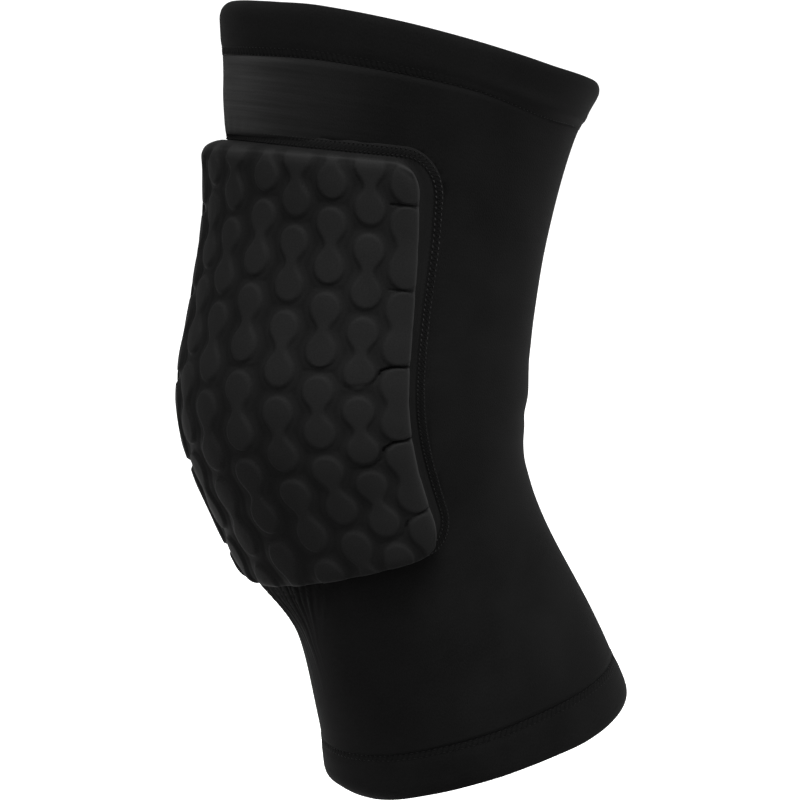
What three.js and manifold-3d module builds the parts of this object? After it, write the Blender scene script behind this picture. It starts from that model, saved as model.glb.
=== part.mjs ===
// A padded knee sleeve for ball sports, as it stands on a slightly bent knee.
// A stretch-knit tube with two turned hems carries a moulded foam pad. The pad is
// a panel of its own, let into a window in the front of the tube and joined to it
// by one flat seam. Units are millimetres, +Z is up the leg, -Y is the front of the
// knee, and the origin is the centre of the knee.
import * as THREE from "three";
import { mergeVertices } from "three/addons/utils/BufferGeometryUtils.js";
import Module from "manifold-3d";

// Driving dimensions of the limb that the sleeve is stretched over
const reachUp = 136; // along the limb from the knee centre to the top rim
const reachDown = 143.5; // along the limb from the knee centre to the bottom rim
const kneeWidth = 113; // outside of the knit, side to side at the knee
const kneeDepth = 126; // outside of the knit, front to back at the knee
const kneeBend = 35; // degrees that the thigh and the shin turn from each other

// Driving dimensions of the knit and its hems
const wall = 1.2; // one ply of knit
const topHem = 19; // height of the turned band at the top
const bottomHem = 16.5; // height of the turned band at the bottom
const hemPuff = 0.5; // how far the doubled band stands out of the single knit
const hemTurn = 1.6; // length of the soft fold at a rim
const hemTuck = 4; // how far the inner ply runs on behind the single knit
const gap = 0.3; // clearance between neighbouring pieces

// Driving dimensions of the foam pad, measured on its outer face
const padWidth = 202; // round the front of the knee
const padAbove = 100.6; // from the knee centre to its top edge
const padBelow = 61; // from the knee centre to the foot of its lower edge
const padThickness = 10.5; // from the knit's outside to the top of a cell
const cellHeight = 2; // how far the cells stand above the grooves
const padTopCorner = 9; // corner radius at the thigh
const padLowCorner = 14; // corner radius at the shin
const padBow = 2.4; // how far its ends draw in at the front
const padRound = 2.2; // rounding of the foam's outer edge
const padLip = 3.8; // how far the foam leans out over the seam at the shin

// Driving dimensions of the flat panel round the foam, from the foam to its seam
const sideMargin = 5.3;
const topMargin = 0.3;
const footMargin = 1.8;
const marginRound = 5; // how much rounder the seam's corners are than the foam's at the thigh
const footRound = 2; // and at the shin
const seamBow = 0.6; // share of the pad's bow that its seam follows

// Driving dimensions of the moulded cells, each two lobes joined by a neck
const columnPitch = 16; // from one column of cells to the next
const rowPitch = 30.6; // from one cell to the next in a column
const cellLength = 27.8;
const lobeWidth = 12;
const neckWidth = 7;
const columnDrop = 8; // how much lower every other column lies
const firstCell = 19.5; // top of the first even cell above the knee centre
const cellDraft = 0.8; // how much a cell's upper edge is cut back
const cellRoot = 0.7; // share of its height that a cell is sunk into the foam

// Driving dimensions of the seam round the pad and the gathers below it
const seamWidth = 4.4;
const seamHeight = 0.6;
const seamLift = 0.45; // clearance under the seam, over facets of two neighbours
const gatherLength = 20;
const gatherWidth = 3;
const gatherHeight = 1.1;

// Fineness of the faceted surfaces
const columnsRound = 34; // facets round the limb
const rowStep = 15; // longest facet along the limb
const outlineStep = 12; // longest facet of the pad's edge
const bendStepUp = 20; // longest facet of the pad along the limb
const cornerFacets = 3;

// Sections of the limb. along is a share of reachDown below the knee and of reachUp
// above it, lean a share of kneeBend, side a share of kneeWidth, and front and back
// shares of kneeDepth. spread is how far the pad opens there, against the knee, and
// flare is how much further its panel opens than its foam.
const sections = [
  { along: -1.0, lean: -0.43, side: 0.49, front: 0.44, back: 0.55, spread: 0.86, flare: 1.0 },
  { along: -0.8, lean: -0.6, side: 0.46, front: 0.405, back: 0.52, spread: 0.86, flare: 1.0 },
  { along: -0.5, lean: -0.59, side: 0.425, front: 0.365, back: 0.475, spread: 0.87, flare: 1.02 },
  { along: -0.25, lean: -0.4, side: 0.455, front: 0.42, back: 0.47, spread: 0.925, flare: 1.01 },
  { along: 0.0, lean: -0.11, side: 0.5, front: 0.49, back: 0.51, spread: 1.0, flare: 1.0 },
  { along: 0.25, lean: 0.11, side: 0.49, front: 0.445, back: 0.53, spread: 0.955, flare: 1.01 },
  { along: 0.5, lean: 0.2, side: 0.495, front: 0.43, back: 0.55, spread: 0.93, flare: 1.035 },
  { along: 0.8, lean: 0.29, side: 0.555, front: 0.495, back: 0.585, spread: 0.98, flare: 1.03 },
  { along: 1.0, lean: 0.41, side: 0.61, front: 0.555, back: 0.63, spread: 0.98, flare: 1.02 },
];

// Gathers in the knit below the pad. round is a share of padWidth either side of
// the front, length a share of gatherLength and height a share of gatherHeight.
const gathers = [
  { round: 0.018, length: 0.9, height: 0.9 },
  { round: 0.048, length: 0.7, height: 1.0 },
  { round: 0.078, length: 1.0, height: 0.8 },
  { round: 0.108, length: 0.8, height: 0.9 },
  { round: 0.14, length: 0.6, height: 0.7 },
];

const wasm = await Module();
wasm.setup();

// Smooth reading between listed places and values, held at its ends.
function smoothRead(places, values, at) {
  const last = places.length - 1;
  const x = Math.min(Math.max(at, places[0]), places[last]);
  let i = 0;
  while (i < last - 1 && places[i + 1] < x) i += 1;
  const slope = (k) => {
    const a = Math.max(k - 1, 0);
    const b = Math.min(k + 1, last);
    return (values[b] - values[a]) / (places[b] - places[a]);
  };
  const span = places[i + 1] - places[i];
  const t = (x - places[i]) / span;
  return (
    (2 * t ** 3 - 3 * t ** 2 + 1) * values[i] +
    (t ** 3 - 2 * t ** 2 + t) * span * slope(i) +
    (3 * t ** 2 - 2 * t ** 3) * values[i + 1] +
    (t ** 3 - t ** 2) * span * slope(i + 1)
  );
}

// Straight reading between listed places and values, held at its ends.
function straightRead(places, values, at) {
  const last = places.length - 1;
  const x = Math.min(Math.max(at, places[0]), places[last]);
  let low = 0;
  let high = last;
  while (high - low > 1) {
    const middle = (low + high) >> 1;
    if (places[middle] <= x) low = middle;
    else high = middle;
  }
  const t = (x - places[low]) / (places[high] - places[low]);
  return values[low] + (values[high] - values[low]) * t;
}

const stations = sections.map((row) => row.along * (row.along < 0 ? reachDown : reachUp));
const columnOf = (name) => sections.map((row) => row[name]);
const leans = columnOf("lean").map((share) => THREE.MathUtils.degToRad(share * kneeBend));
const sides = columnOf("side").map((share) => share * kneeWidth);
const fronts = columnOf("front").map((share) => share * kneeDepth);
const backs = columnOf("back").map((share) => share * kneeDepth);
const spreads = columnOf("spread");
const flares = columnOf("flare");

// The limb's axis, added up in short steps from the knee centre each way.
const axis = (() => {
  const steps = 240;
  const points = [{ at: 0, y: 0, z: 0 }];
  for (const reach of [-reachDown, reachUp]) {
    let y = 0;
    let z = 0;
    for (let k = 1; k <= steps; k += 1) {
      const lean = smoothRead(stations, leans, (reach * (k - 0.5)) / steps);
      y += (Math.sin(lean) * reach) / steps;
      z += (Math.cos(lean) * reach) / steps;
      points.push({ at: (reach * k) / steps, y, z });
    }
  }
  points.sort((a, b) => a.at - b.at);
  return {
    at: points.map((p) => p.at),
    y: points.map((p) => p.y),
    z: points.map((p) => p.z),
  };
})();

// A point on the outside of the knit: along the limb, and an angle round it from the front.
function knitPoint(along, angle) {
  const lean = smoothRead(stations, leans, along);
  const reach = Math.cos(angle) > 0 ? fronts : backs;
  const forward = smoothRead(stations, reach, along) * Math.cos(angle);
  return new THREE.Vector3(
    smoothRead(stations, sides, along) * Math.sin(angle),
    straightRead(axis.at, axis.y, along) - forward * Math.cos(lean),
    straightRead(axis.at, axis.z, along) + forward * Math.sin(lean),
  );
}

// The same place raised off the knit, or sunk into it where height is below zero.
function limbPoint(along, angle, height = 0) {
  const point = knitPoint(along, angle);
  if (height === 0) return point;
  const probe = 0.4;
  const low = Math.max(along - probe, -reachDown);
  const high = Math.min(along + probe, reachUp);
  const up = knitPoint(high, angle).sub(knitPoint(low, angle));
  const round = knitPoint(along, angle + 0.01).sub(knitPoint(along, angle - 0.01));
  return point.addScaledVector(round.cross(up).normalize(), height);
}

// The angle at a distance round the knit from the front, either way.
const sectionLengths = new Map();
function angleAt(along, distance) {
  if (!sectionLengths.has(along)) {
    const angles = [0];
    const lengths = [0];
    const steps = 120;
    let before = knitPoint(along, 0);
    for (let k = 1; k <= steps; k += 1) {
      const angle = (Math.PI * k) / steps;
      const point = knitPoint(along, angle);
      angles.push(angle);
      lengths.push(lengths[k - 1] + point.distanceTo(before));
      before = point;
    }
    sectionLengths.set(along, { angles, lengths });
  }
  const { angles, lengths } = sectionLengths.get(along);
  return Math.sign(distance) * straightRead(lengths, angles, Math.abs(distance));
}

// The pad doesn't stretch, so a length on its face is measured half way round to its side.
const padMeasure = (() => {
  const angle = THREE.MathUtils.degToRad(50);
  const steps = 200;
  const at = [];
  const length = [];
  let before = null;
  for (let k = 0; k <= steps; k += 1) {
    const along = -reachDown + ((reachUp + reachDown) * k) / steps;
    const point = limbPoint(along, angle, padThickness);
    length.push(before ? length[k - 1] + point.distanceTo(before) : 0);
    at.push(along);
    before = point;
  }
  const zero = straightRead(at, length, 0);
  return { at, length: length.map((value) => value - zero) };
})();
const faceStretch = 1 + padThickness / ((kneeWidth + kneeDepth) / 4);

// Lays a place of the flat pad on the limb: x round it, y up it, height off the knit.
function layPad(x, y, height) {
  const along = straightRead(padMeasure.length, padMeasure.at, y);
  const round = (x / faceStretch) * smoothRead(stations, spreads, along);
  return limbPoint(along, angleAt(along, round), height);
}

// Skins a list of loops with equal numbers of points. Joined loops make a band that
// closes on itself, and otherwise the first and last loops are filled to a middle point.
function skin(loops, middles = null) {
  const count = loops[0].length;
  const points = loops.flat();
  const index = [];
  const bands = middles ? loops.length - 1 : loops.length;
  for (let i = 0; i < bands; i += 1) {
    const here = i * count;
    const next = ((i + 1) % loops.length) * count;
    for (let j = 0; j < count; j += 1) {
      const k = (j + 1) % count;
      index.push(here + j, here + k, next + k, here + j, next + k, next + j);
    }
  }
  if (middles) {
    points.push(...middles);
    const first = loops.length * count;
    const lastLoop = (loops.length - 1) * count;
    for (let j = 0; j < count; j += 1) {
      const k = (j + 1) % count;
      index.push(first, k, j, first + 1, lastLoop + j, lastLoop + k);
    }
  }
  const geometry = new THREE.BufferGeometry().setFromPoints(points);
  geometry.setIndex(index);
  return geometry;
}

// A closed geometry as a solid that can be joined and cut, with its faces turned out.
function solidOf(geometry) {
  geometry.deleteAttribute("normal");
  geometry.deleteAttribute("uv");
  const merged = mergeVertices(geometry, 1e-4);
  const vertProperties = new Float32Array(merged.attributes.position.array);
  const triVerts = new Uint32Array(merged.index.array);
  const corner = (k) => new THREE.Vector3().fromArray(vertProperties, 3 * triVerts[k]);
  let volume = 0;
  for (let k = 0; k < triVerts.length; k += 3) {
    volume += corner(k).dot(corner(k + 1).cross(corner(k + 2)));
  }
  if (volume < 0) triVerts.reverse();
  return new wasm.Manifold(new wasm.Mesh({ numProp: 3, vertProperties, triVerts }));
}

// A solid as a geometry for its mesh.
function geometryOf(solid) {
  const { vertProperties, triVerts, numProp } = solid.getMesh();
  const position = [];
  for (let k = 0; k < vertProperties.length; k += numProp) {
    position.push(...vertProperties.subarray(k, k + 3));
  }
  const geometry = new THREE.BufferGeometry();
  geometry.setAttribute("position", new THREE.Float32BufferAttribute(position, 3));
  geometry.setIndex(Array.from(triVerts));
  geometry.computeVertexNormals();
  return geometry;
}

// How many equal spaces near a step fit in a length.
const spacesIn = (length, step) => Math.max(1, Math.round(length / step));

// One loop round the whole limb.
function limbLoop(along, height) {
  return Array.from({ length: columnsRound }, (_, k) =>
    limbPoint(along, (2 * Math.PI * k) / columnsRound, height),
  );
}

// The two outlines of the flat pad: the foot of its foam, and the middle of its seam.
const foam = {
  width: padWidth,
  above: padAbove,
  below: padBelow,
  topCorner: padTopCorner,
  lowCorner: padLowCorner,
  bow: padBow,
  flared: 0,
};
const panel = {
  width: padWidth + 2 * sideMargin + seamWidth,
  above: padAbove + topMargin + seamWidth / 2,
  below: padBelow + footMargin + seamWidth / 2,
  topCorner: padTopCorner + marginRound,
  lowCorner: padLowCorner + footRound,
  bow: padBow * seamBow,
  flared: 1,
};

// The corners and edges of an outline, drawn in by inset or out where it is below zero,
// and let down by lip at the shin.
function outlineOf(shape, inset, lip = 0) {
  const half = shape.width / 2 - inset;
  const high = shape.above - inset;
  const low = inset - shape.below - lip;
  const corners = [
    { radius: shape.topCorner, side: 1, end: high, turn: 0 },
    { radius: shape.topCorner, side: -1, end: high, turn: 1 },
    { radius: shape.lowCorner, side: -1, end: low, turn: 2 },
    { radius: shape.lowCorner, side: 1, end: low, turn: 3 },
  ];
  const arcs = corners.map(({ radius, side, end, turn }) => {
    const round = Math.max(radius - inset, gap);
    const middleX = side * (half - round);
    const middleY = end - Math.sign(end) * round;
    return Array.from({ length: cornerFacets + 1 }, (_, k) => {
      const angle = ((turn + k / cornerFacets) * Math.PI) / 2;
      return new THREE.Vector2(middleX + round * Math.cos(angle), middleY + round * Math.sin(angle));
    });
  });
  const straights = [padWidth, padAbove + padBelow];
  const loop = arcs.flatMap((arc, k) => {
    const next = arcs[(k + 1) % arcs.length][0];
    const spaces = spacesIn(straights[k % 2], outlineStep);
    const between = Array.from({ length: spaces - 1 }, (_, n) =>
      arc[cornerFacets].clone().lerp(next, (n + 1) / spaces),
    );
    return [...arc, ...between];
  });
  return loop.map((p) => {
    const end = p.y > 0 ? high : low;
    const drawn = shape.bow * (1 - (p.x / half) ** 2) * (p.y / end) ** 2;
    const along = straightRead(padMeasure.length, padMeasure.at, p.y);
    const flare = shape.flared ? smoothRead(stations, flares, along) : 1;
    return new THREE.Vector2(p.x * flare, p.y - Math.sign(end) * drawn);
  });
}

// Faces between two loops that run the same way round, the shorter gap closed first.
function zip(points, outer, inner) {
  const far = (a, b) => points[a].distanceTo(points[b]);
  const distances = inner.map((k) => far(outer[0], k));
  const start = distances.indexOf(Math.min(...distances));
  const faces = [];
  let i = 0;
  let j = 0;
  while (i < outer.length || j < inner.length) {
    const a = outer[i % outer.length];
    const b = inner[(start + j) % inner.length];
    const nextA = outer[(i + 1) % outer.length];
    const nextB = inner[(start + j + 1) % inner.length];
    const outerFirst = j === inner.length || far(nextA, b) < far(a, nextB);
    if (outerFirst && i < outer.length) {
      faces.push([a, nextA, b]);
      i += 1;
    } else {
      faces.push([a, nextB, b]);
      j += 1;
    }
  }
  return faces;
}

// Fills an outline with faces: a grid whose lines pass between the columns of cells, and a
// border of faces from the grid out to the outline's own points.
function fillOutline(outline) {
  const columns = 2 * Math.floor((padWidth / 2 - padTopCorner) / columnPitch + 0.5);
  const rows = spacesIn(padAbove + padBelow, bendStepUp) - 1;
  const border = (padAbove + padBelow) / (rows + 1.4) / 1.4;
  const spanUp = (padAbove + padBelow - 2 * border) / rows;
  const grid = [];
  for (let j = 0; j <= rows; j += 1) {
    for (let i = 0; i < columns; i += 1) {
      const x = (i - (columns - 1) / 2) * columnPitch;
      grid.push(new THREE.Vector2(x, -padBelow + border + j * spanUp));
    }
  }
  const at = (i, j) => outline.length + j * columns + i;
  const faces = [];
  for (let j = 0; j < rows; j += 1) {
    for (let i = 0; i < columns - 1; i += 1) {
      faces.push([at(i, j), at(i + 1, j), at(i + 1, j + 1)]);
      faces.push([at(i, j), at(i + 1, j + 1), at(i, j + 1)]);
    }
  }
  const rim = [];
  for (let i = 0; i < columns - 1; i += 1) rim.push(at(i, 0));
  for (let j = 0; j < rows; j += 1) rim.push(at(columns - 1, j));
  for (let i = columns - 1; i > 0; i -= 1) rim.push(at(i, rows));
  for (let j = rows; j > 0; j -= 1) rim.push(at(0, j));
  faces.push(...zip([...outline, ...grid], [...outline.keys()], rim));
  return { grid, faces };
}

// One ring of a pad's outline, laid on the limb.
function layRing({ shape, inset, height, lip }) {
  return outlineOf(shape, inset, lip).map((p) => layPad(p.x, p.y, height));
}

// A block between rings of equal length, from its back to its front.
function padBlock(rings) {
  const points = rings.flatMap(layRing);
  const count = points.length / rings.length;
  const faces = [];
  for (let k = 0; k < rings.length - 1; k += 1) {
    for (let n = 0; n < count; n += 1) {
      const here = k * count + n;
      const beside = k * count + ((n + 1) % count);
      faces.push([here, beside, beside + count], [here, beside + count, here + count]);
    }
  }
  for (const end of [0, rings.length - 1]) {
    const { shape, inset, height, lip } = rings[end];
    const fill = fillOutline(outlineOf(shape, inset, lip));
    const first = points.length;
    points.push(...fill.grid.map((p) => layPad(p.x, p.y, height)));
    const index = (k) => (k < count ? end * count + k : first + k - count);
    faces.push(...fill.faces.map((face) => (end ? face : face.toReversed()).map(index)));
  }
  const geometry = new THREE.BufferGeometry().setFromPoints(points);
  geometry.setIndex(faces.flat());
  return solidOf(geometry);
}

// Sleeve: the knit tube between the hems, with a window for the pad and gathers below it.
function makeSleeve() {
  const low = -reachDown + bottomHem + gap;
  const high = reachUp - topHem - gap;
  const rows = spacesIn(high - low, rowStep);
  const levels = Array.from({ length: rows + 1 }, (_, k) => low + ((high - low) * k) / rows);
  const tube = solidOf(
    skin([
      ...levels.map((along) => limbLoop(along, 0)),
      ...levels.toReversed().map((along) => limbLoop(along, -wall)),
    ]),
  );
  const window = padBlock([
    { shape: panel, inset: -gap / 2, height: -3 * wall },
    { shape: panel, inset: -gap / 2, height: 3 * wall },
  ]);
  return gathers.reduce((solid, row) => {
    const pair = [-1, 1].map((side) => gatherRidge(side * row.round * padWidth, row));
    return solid.add(pair[0]).add(pair[1]);
  }, tube.subtract(window));
}

// A gather: a ridge that starts just below the seam and fades out down the shin.
function gatherRidge(x, row) {
  const start = -panel.below - seamWidth / 2 - gap;
  const length = gatherLength * row.length;
  const steps = [
    { down: 0, rise: 0.75 },
    { down: 0.3, rise: 1 },
    { down: 0.65, rise: 0.6 },
    { down: 1, rise: 0.05 },
  ];
  const root = -wall / 2;
  const loops = steps.map(({ down, rise }) => {
    const y = start - length * down;
    const half = (gatherWidth / 2) * Math.max(rise, 0.4);
    return [
      layPad(x - half, y, root),
      layPad(x + half, y, root),
      layPad(x, y, gatherHeight * row.height * rise),
    ];
  });
  return solidOf(skin(loops, [layPad(x, start, 0), layPad(x, start - length, root / 2)]));
}

// Hem: the knit turned in at a rim and laid double, with its inner ply tucked behind
// the single knit. end is 1 at the top and -1 at the bottom.
function makeHem(rim, height, end) {
  const edge = rim - end * height;
  const fold = -wall;
  const inner = -2 * wall - gap;
  const profile = [
    [edge, 0],
    [edge + end * hemTurn, hemPuff],
    [rim - end * hemTurn, hemPuff],
    [rim, fold / 2],
    [rim - end * hemTurn, inner],
    [edge - end * hemTuck, inner],
    [edge - end * hemTuck, -wall - gap],
    [edge, -wall - gap],
  ];
  return solidOf(skin(profile.map(([along, rise]) => limbLoop(along, rise))));
}

// The outline of a cell about its own middle, two lobes joined by a neck, drawn in by inset.
function cellOutline(inset) {
  const lobe = lobeWidth / 2 - inset;
  const waist = neckWidth / 2 - inset;
  const middle = (cellLength - lobeWidth) / 2;
  const upper = [-12, 52].map((degrees) => {
    const angle = THREE.MathUtils.degToRad(degrees);
    return new THREE.Vector2(lobe * Math.cos(angle), middle + lobe * Math.sin(angle));
  });
  const lower = upper.map((p) => new THREE.Vector2(p.x, -p.y)).toReversed();
  const right = [...lower, new THREE.Vector2(waist, 0), ...upper];
  return [...right, ...right.map((p) => new THREE.Vector2(-p.x, p.y)).toReversed()];
}

// A cell of the moulded face, narrower at its top, with its root sunk in the foam.
function makeCell(x, y) {
  const root = padThickness - cellHeight * (1 + cellRoot);
  const levels = [
    { inset: 0, height: root },
    { inset: cellDraft, height: padThickness },
  ];
  const loops = levels.map(({ inset, height }) =>
    cellOutline(inset).map((p) => layPad(x + p.x, y + p.y, height)),
  );
  return solidOf(skin(loops, [layPad(x, y, root), layPad(x, y, padThickness)]));
}

// Knee pad: a thin flat edge, a thick foam block with a rounded edge, and the cells
// standing on it in columns, every other column lower than its neighbours.
function makeKneePad() {
  const face = padThickness - cellHeight;
  const block = padBlock([
    { shape: panel, inset: gap / 2, height: -wall },
    { shape: panel, inset: gap / 2, height: 0 },
    { shape: foam, inset: 0, height: 0 },
    { shape: foam, inset: 0, height: face * 0.45, lip: padLip },
    { shape: foam, inset: padRound * 0.1, height: face - padRound, lip: padLip },
    { shape: foam, inset: padRound * 0.4, height: face - padRound * 0.35, lip: padLip },
    { shape: foam, inset: padRound, height: face, lip: padLip },
  ]);
  const trim = padBlock([
    { shape: foam, inset: padRound * 1.2, height: padThickness / 2, lip: padLip },
    { shape: foam, inset: padRound * 1.2, height: padThickness * 1.5, lip: padLip },
  ]);
  const cells = [];
  const columns = Math.floor((padWidth / 2 + lobeWidth / 4) / columnPitch);
  for (let column = -columns; column <= columns; column += 1) {
    const first = firstCell - (column % 2 === 0 ? 0 : columnDrop) - cellLength / 2;
    const up = Math.floor((padAbove - first + cellLength / 4) / rowPitch);
    const down = Math.floor((first + padBelow + padLip + cellLength / 4) / rowPitch);
    for (let row = -down; row <= up; row += 1) {
      cells.push(makeCell(column * columnPitch, first + row * rowPitch));
    }
  }
  return block.add(wasm.Manifold.union(cells).intersect(trim));
}

// Pad seam: the flat band of thread that covers the joint of the panel and the knit.
function makePadSeam() {
  const half = seamWidth / 2;
  const rings = [
    { shape: panel, inset: -half, height: seamLift },
    { shape: panel, inset: half, height: seamLift },
    { shape: panel, inset: half * 0.8, height: seamLift + seamHeight },
    { shape: panel, inset: -half * 0.8, height: seamLift + seamHeight },
  ];
  return solidOf(skin(rings.map(layRing)));
}

const knit = new THREE.MeshStandardMaterial({ color: 0x171717, roughness: 0.85, metalness: 0 });
const padCloth = new THREE.MeshStandardMaterial({ color: 0x1f1f1f, roughness: 0.8, metalness: 0 });
const thread = new THREE.MeshStandardMaterial({ color: 0x121212, roughness: 0.7, metalness: 0 });

const kneeSleeve = new THREE.Group();

function addPiece(name, solid, material) {
  const mesh = new THREE.Mesh(geometryOf(solid), material);
  mesh.name = name;
  kneeSleeve.add(mesh);
}

addPiece("sleeve", makeSleeve(), knit);
addPiece("top_hem", makeHem(reachUp, topHem, 1), knit);
addPiece("bottom_hem", makeHem(-reachDown, bottomHem, -1), knit);
addPiece("knee_pad", makeKneePad(), padCloth);
addPiece("pad_seam", makePadSeam(), thread);

export default kneeSleeve;
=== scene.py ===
# %% [markdown]
# # A padded knee sleeve in Blender
# The real thing is a bent tube of black stretch knit, worn on the leg, with a moulded foam pad
# over the front of the knee. The tube ends in two turned hems, and a flat seam holds the pad in
# its window. We build five cloth pieces and their stitches, one after the other, and each one
# hides the plain solid that it stands for in the measured frame.

import math

import bpy
import numpy as np
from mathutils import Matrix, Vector


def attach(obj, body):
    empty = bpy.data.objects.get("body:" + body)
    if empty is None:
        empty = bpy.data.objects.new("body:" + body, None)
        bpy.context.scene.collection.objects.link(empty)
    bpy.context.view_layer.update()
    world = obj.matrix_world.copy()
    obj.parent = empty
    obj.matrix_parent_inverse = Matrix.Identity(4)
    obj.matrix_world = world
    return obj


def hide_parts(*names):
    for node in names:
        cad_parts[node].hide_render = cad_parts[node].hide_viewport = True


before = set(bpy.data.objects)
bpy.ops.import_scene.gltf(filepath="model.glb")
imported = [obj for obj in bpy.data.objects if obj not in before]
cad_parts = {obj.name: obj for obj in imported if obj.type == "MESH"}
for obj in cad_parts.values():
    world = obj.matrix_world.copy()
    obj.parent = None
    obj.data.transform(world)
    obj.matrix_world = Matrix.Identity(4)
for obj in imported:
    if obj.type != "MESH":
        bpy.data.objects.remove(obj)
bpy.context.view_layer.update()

# %% [markdown]
# ## The form of the worn sleeve
# A sleeve on a bent knee is a tube along a curved line. The line leans back above and below the
# knee, and the tube's section changes on the way: wide at the thigh, pinched under the knee and
# fuller at the calf. A short table says so at nine places, as shares of a few real lengths, and
# smooth curves run through the table. Working from such a form, instead of pushing points about,
# keeps every piece on the same surface, so that hems, pad and stitches fit each other.

# %% Lengths and sections of the tube, in millimetres
REACH_UP, REACH_DOWN = 136.0, 143.5
KNEE_WIDTH, KNEE_DEPTH, KNEE_BEND = 113.0, 126.0, 35.0
WALL = 1.2
SECTIONS = np.array([
    # along, lean, side, front, back, spread, flare
    (-1.0, -0.43, 0.490, 0.440, 0.550, 0.860, 1.000),
    (-0.8, -0.60, 0.460, 0.405, 0.520, 0.860, 1.000),
    (-0.5, -0.59, 0.425, 0.365, 0.475, 0.870, 1.020),
    (-0.25, -0.40, 0.455, 0.420, 0.470, 0.925, 1.010),
    (0.0, -0.11, 0.500, 0.490, 0.510, 1.000, 1.000),
    (0.25, 0.11, 0.490, 0.445, 0.530, 0.955, 1.010),
    (0.5, 0.20, 0.495, 0.430, 0.550, 0.930, 1.035),
    (0.8, 0.29, 0.555, 0.495, 0.585, 0.980, 1.030),
    (1.0, 0.41, 0.610, 0.555, 0.630, 0.980, 1.020),
])
stations = SECTIONS[:, 0] * np.where(SECTIONS[:, 0] < 0, REACH_DOWN, REACH_UP)


def smooth_read(column, along, scale=1.0):
    """The value of a column of the table at a place along the tube, on a smooth curve."""
    values = SECTIONS[:, column] * scale
    slopes = np.empty_like(values)
    slopes[1:-1] = (values[2:] - values[:-2]) / (stations[2:] - stations[:-2])
    slopes[0] = (values[1] - values[0]) / (stations[1] - stations[0])
    slopes[-1] = (values[-1] - values[-2]) / (stations[-1] - stations[-2])
    at = np.clip(along, stations[0], stations[-1])
    k = np.clip(np.searchsorted(stations, at) - 1, 0, len(stations) - 2)
    span = stations[k + 1] - stations[k]
    t = (at - stations[k]) / span
    ends = (2 * t**3 - 3 * t**2 + 1) * values[k] + (3 * t**2 - 2 * t**3) * values[k + 1]
    return ends + (t**3 - 2 * t**2 + t) * span * slopes[k] + (t**3 - t**2) * span * slopes[k + 1]


print("the tube runs from", stations[0], "to", stations[-1], "mm along the limb")

# %% [markdown]
# The middle line comes from its lean: short steps, each turned a little further, are added up.
# A point of the cloth then lies at an angle round that line, where 0 is the front and 90 degrees
# is the wearer's left. Its height is measured off the knit's outside, square to the surface.

# %% The middle line and the knit's surface
def lean_at(along):
    return np.radians(smooth_read(1, along, KNEE_BEND))


def middle_line(steps=240):
    places = [(0.0, 0.0, 0.0)]
    for reach in (-REACH_DOWN, REACH_UP):
        turned = lean_at(reach * (np.arange(1, steps + 1) - 0.5) / steps)
        along = reach * np.arange(1, steps + 1) / steps
        places += zip(along, np.cumsum(np.sin(turned)) * reach / steps,
                      np.cumsum(np.cos(turned)) * reach / steps)
    return np.array(sorted(places))


MIDDLE = middle_line()


def knit_point(along, angle):
    forward = np.cos(angle)
    depth = np.where(forward > 0, smooth_read(3, along, KNEE_DEPTH),
                     smooth_read(4, along, KNEE_DEPTH)) * forward
    turned = lean_at(along)
    y = np.interp(along, MIDDLE[:, 0], MIDDLE[:, 1])
    z = np.interp(along, MIDDLE[:, 0], MIDDLE[:, 2])
    return np.stack([smooth_read(2, along, KNEE_WIDTH) * np.sin(angle),
                     y - depth * np.cos(turned), z + depth * np.sin(turned)], -1)


def limb_point(along, angle, height):
    """A point at a height above the knit, square to its surface."""
    along, angle, height = np.broadcast_arrays(*(np.asarray(v, float) for v in (along, angle, height)))
    above = np.minimum(along + 0.4, REACH_UP)
    below = np.maximum(along - 0.4, -REACH_DOWN)
    upward = knit_point(above, angle) - knit_point(below, angle)
    round_it = knit_point(along, angle + 0.01) - knit_point(along, angle - 0.01)
    outward = np.cross(round_it, upward)
    outward /= np.linalg.norm(outward, axis=-1, keepdims=True)
    return knit_point(along, angle) + outward * height[..., None]


girth = np.linalg.norm(np.diff(knit_point(0.0, np.linspace(0, 2 * np.pi, 361)), axis=0), axis=1).sum()
print("the sleeve is", round(float(girth)), "mm round at the knee")

# %% [markdown]
# ## Laying flat patterns on the form
# The pad is cut flat and then bent round the knee. So we draw it flat, with x round the knee and
# y up the limb, and a function lays each drawn point on the form. Distances round the tube are
# measured once on a fine grid and looked up from there, which keeps the pattern's true widths.

# %% From the flat pattern to the worn form
PAD_THICK = 10.5
grid_along = np.linspace(-REACH_DOWN, REACH_UP, 560)
grid_angle = np.linspace(0, np.pi, 181)
grid_steps = np.diff(knit_point(grid_along[:, None], grid_angle[None, :]), axis=1)
grid_round = np.concatenate([np.zeros((560, 1)), np.cumsum(np.linalg.norm(grid_steps, axis=-1), 1)], 1)


def round_row(along):
    """Distances round the tube from the front line, at each angle of the grid."""
    f = np.clip((along - grid_along[0]) / (grid_along[1] - grid_along[0]), 0, 558.999)
    low = f.astype(int)
    t = (f - low)[:, None]
    return grid_round[low] * (1 - t) + grid_round[low + 1] * t


def angle_at(along, distance):
    along, distance = np.broadcast_arrays(np.asarray(along, float), np.asarray(distance, float))
    flat_along, far = along.ravel(), np.abs(distance).ravel()
    row = round_row(flat_along)
    k = np.clip((row < far[:, None]).sum(1) - 1, 0, len(grid_angle) - 2)
    n = np.arange(len(far))
    share = (far - row[n, k]) / (row[n, k + 1] - row[n, k])
    angle = grid_angle[k] + share * (grid_angle[1] - grid_angle[0])
    return (np.sign(distance.ravel()) * angle).reshape(along.shape)


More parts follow.
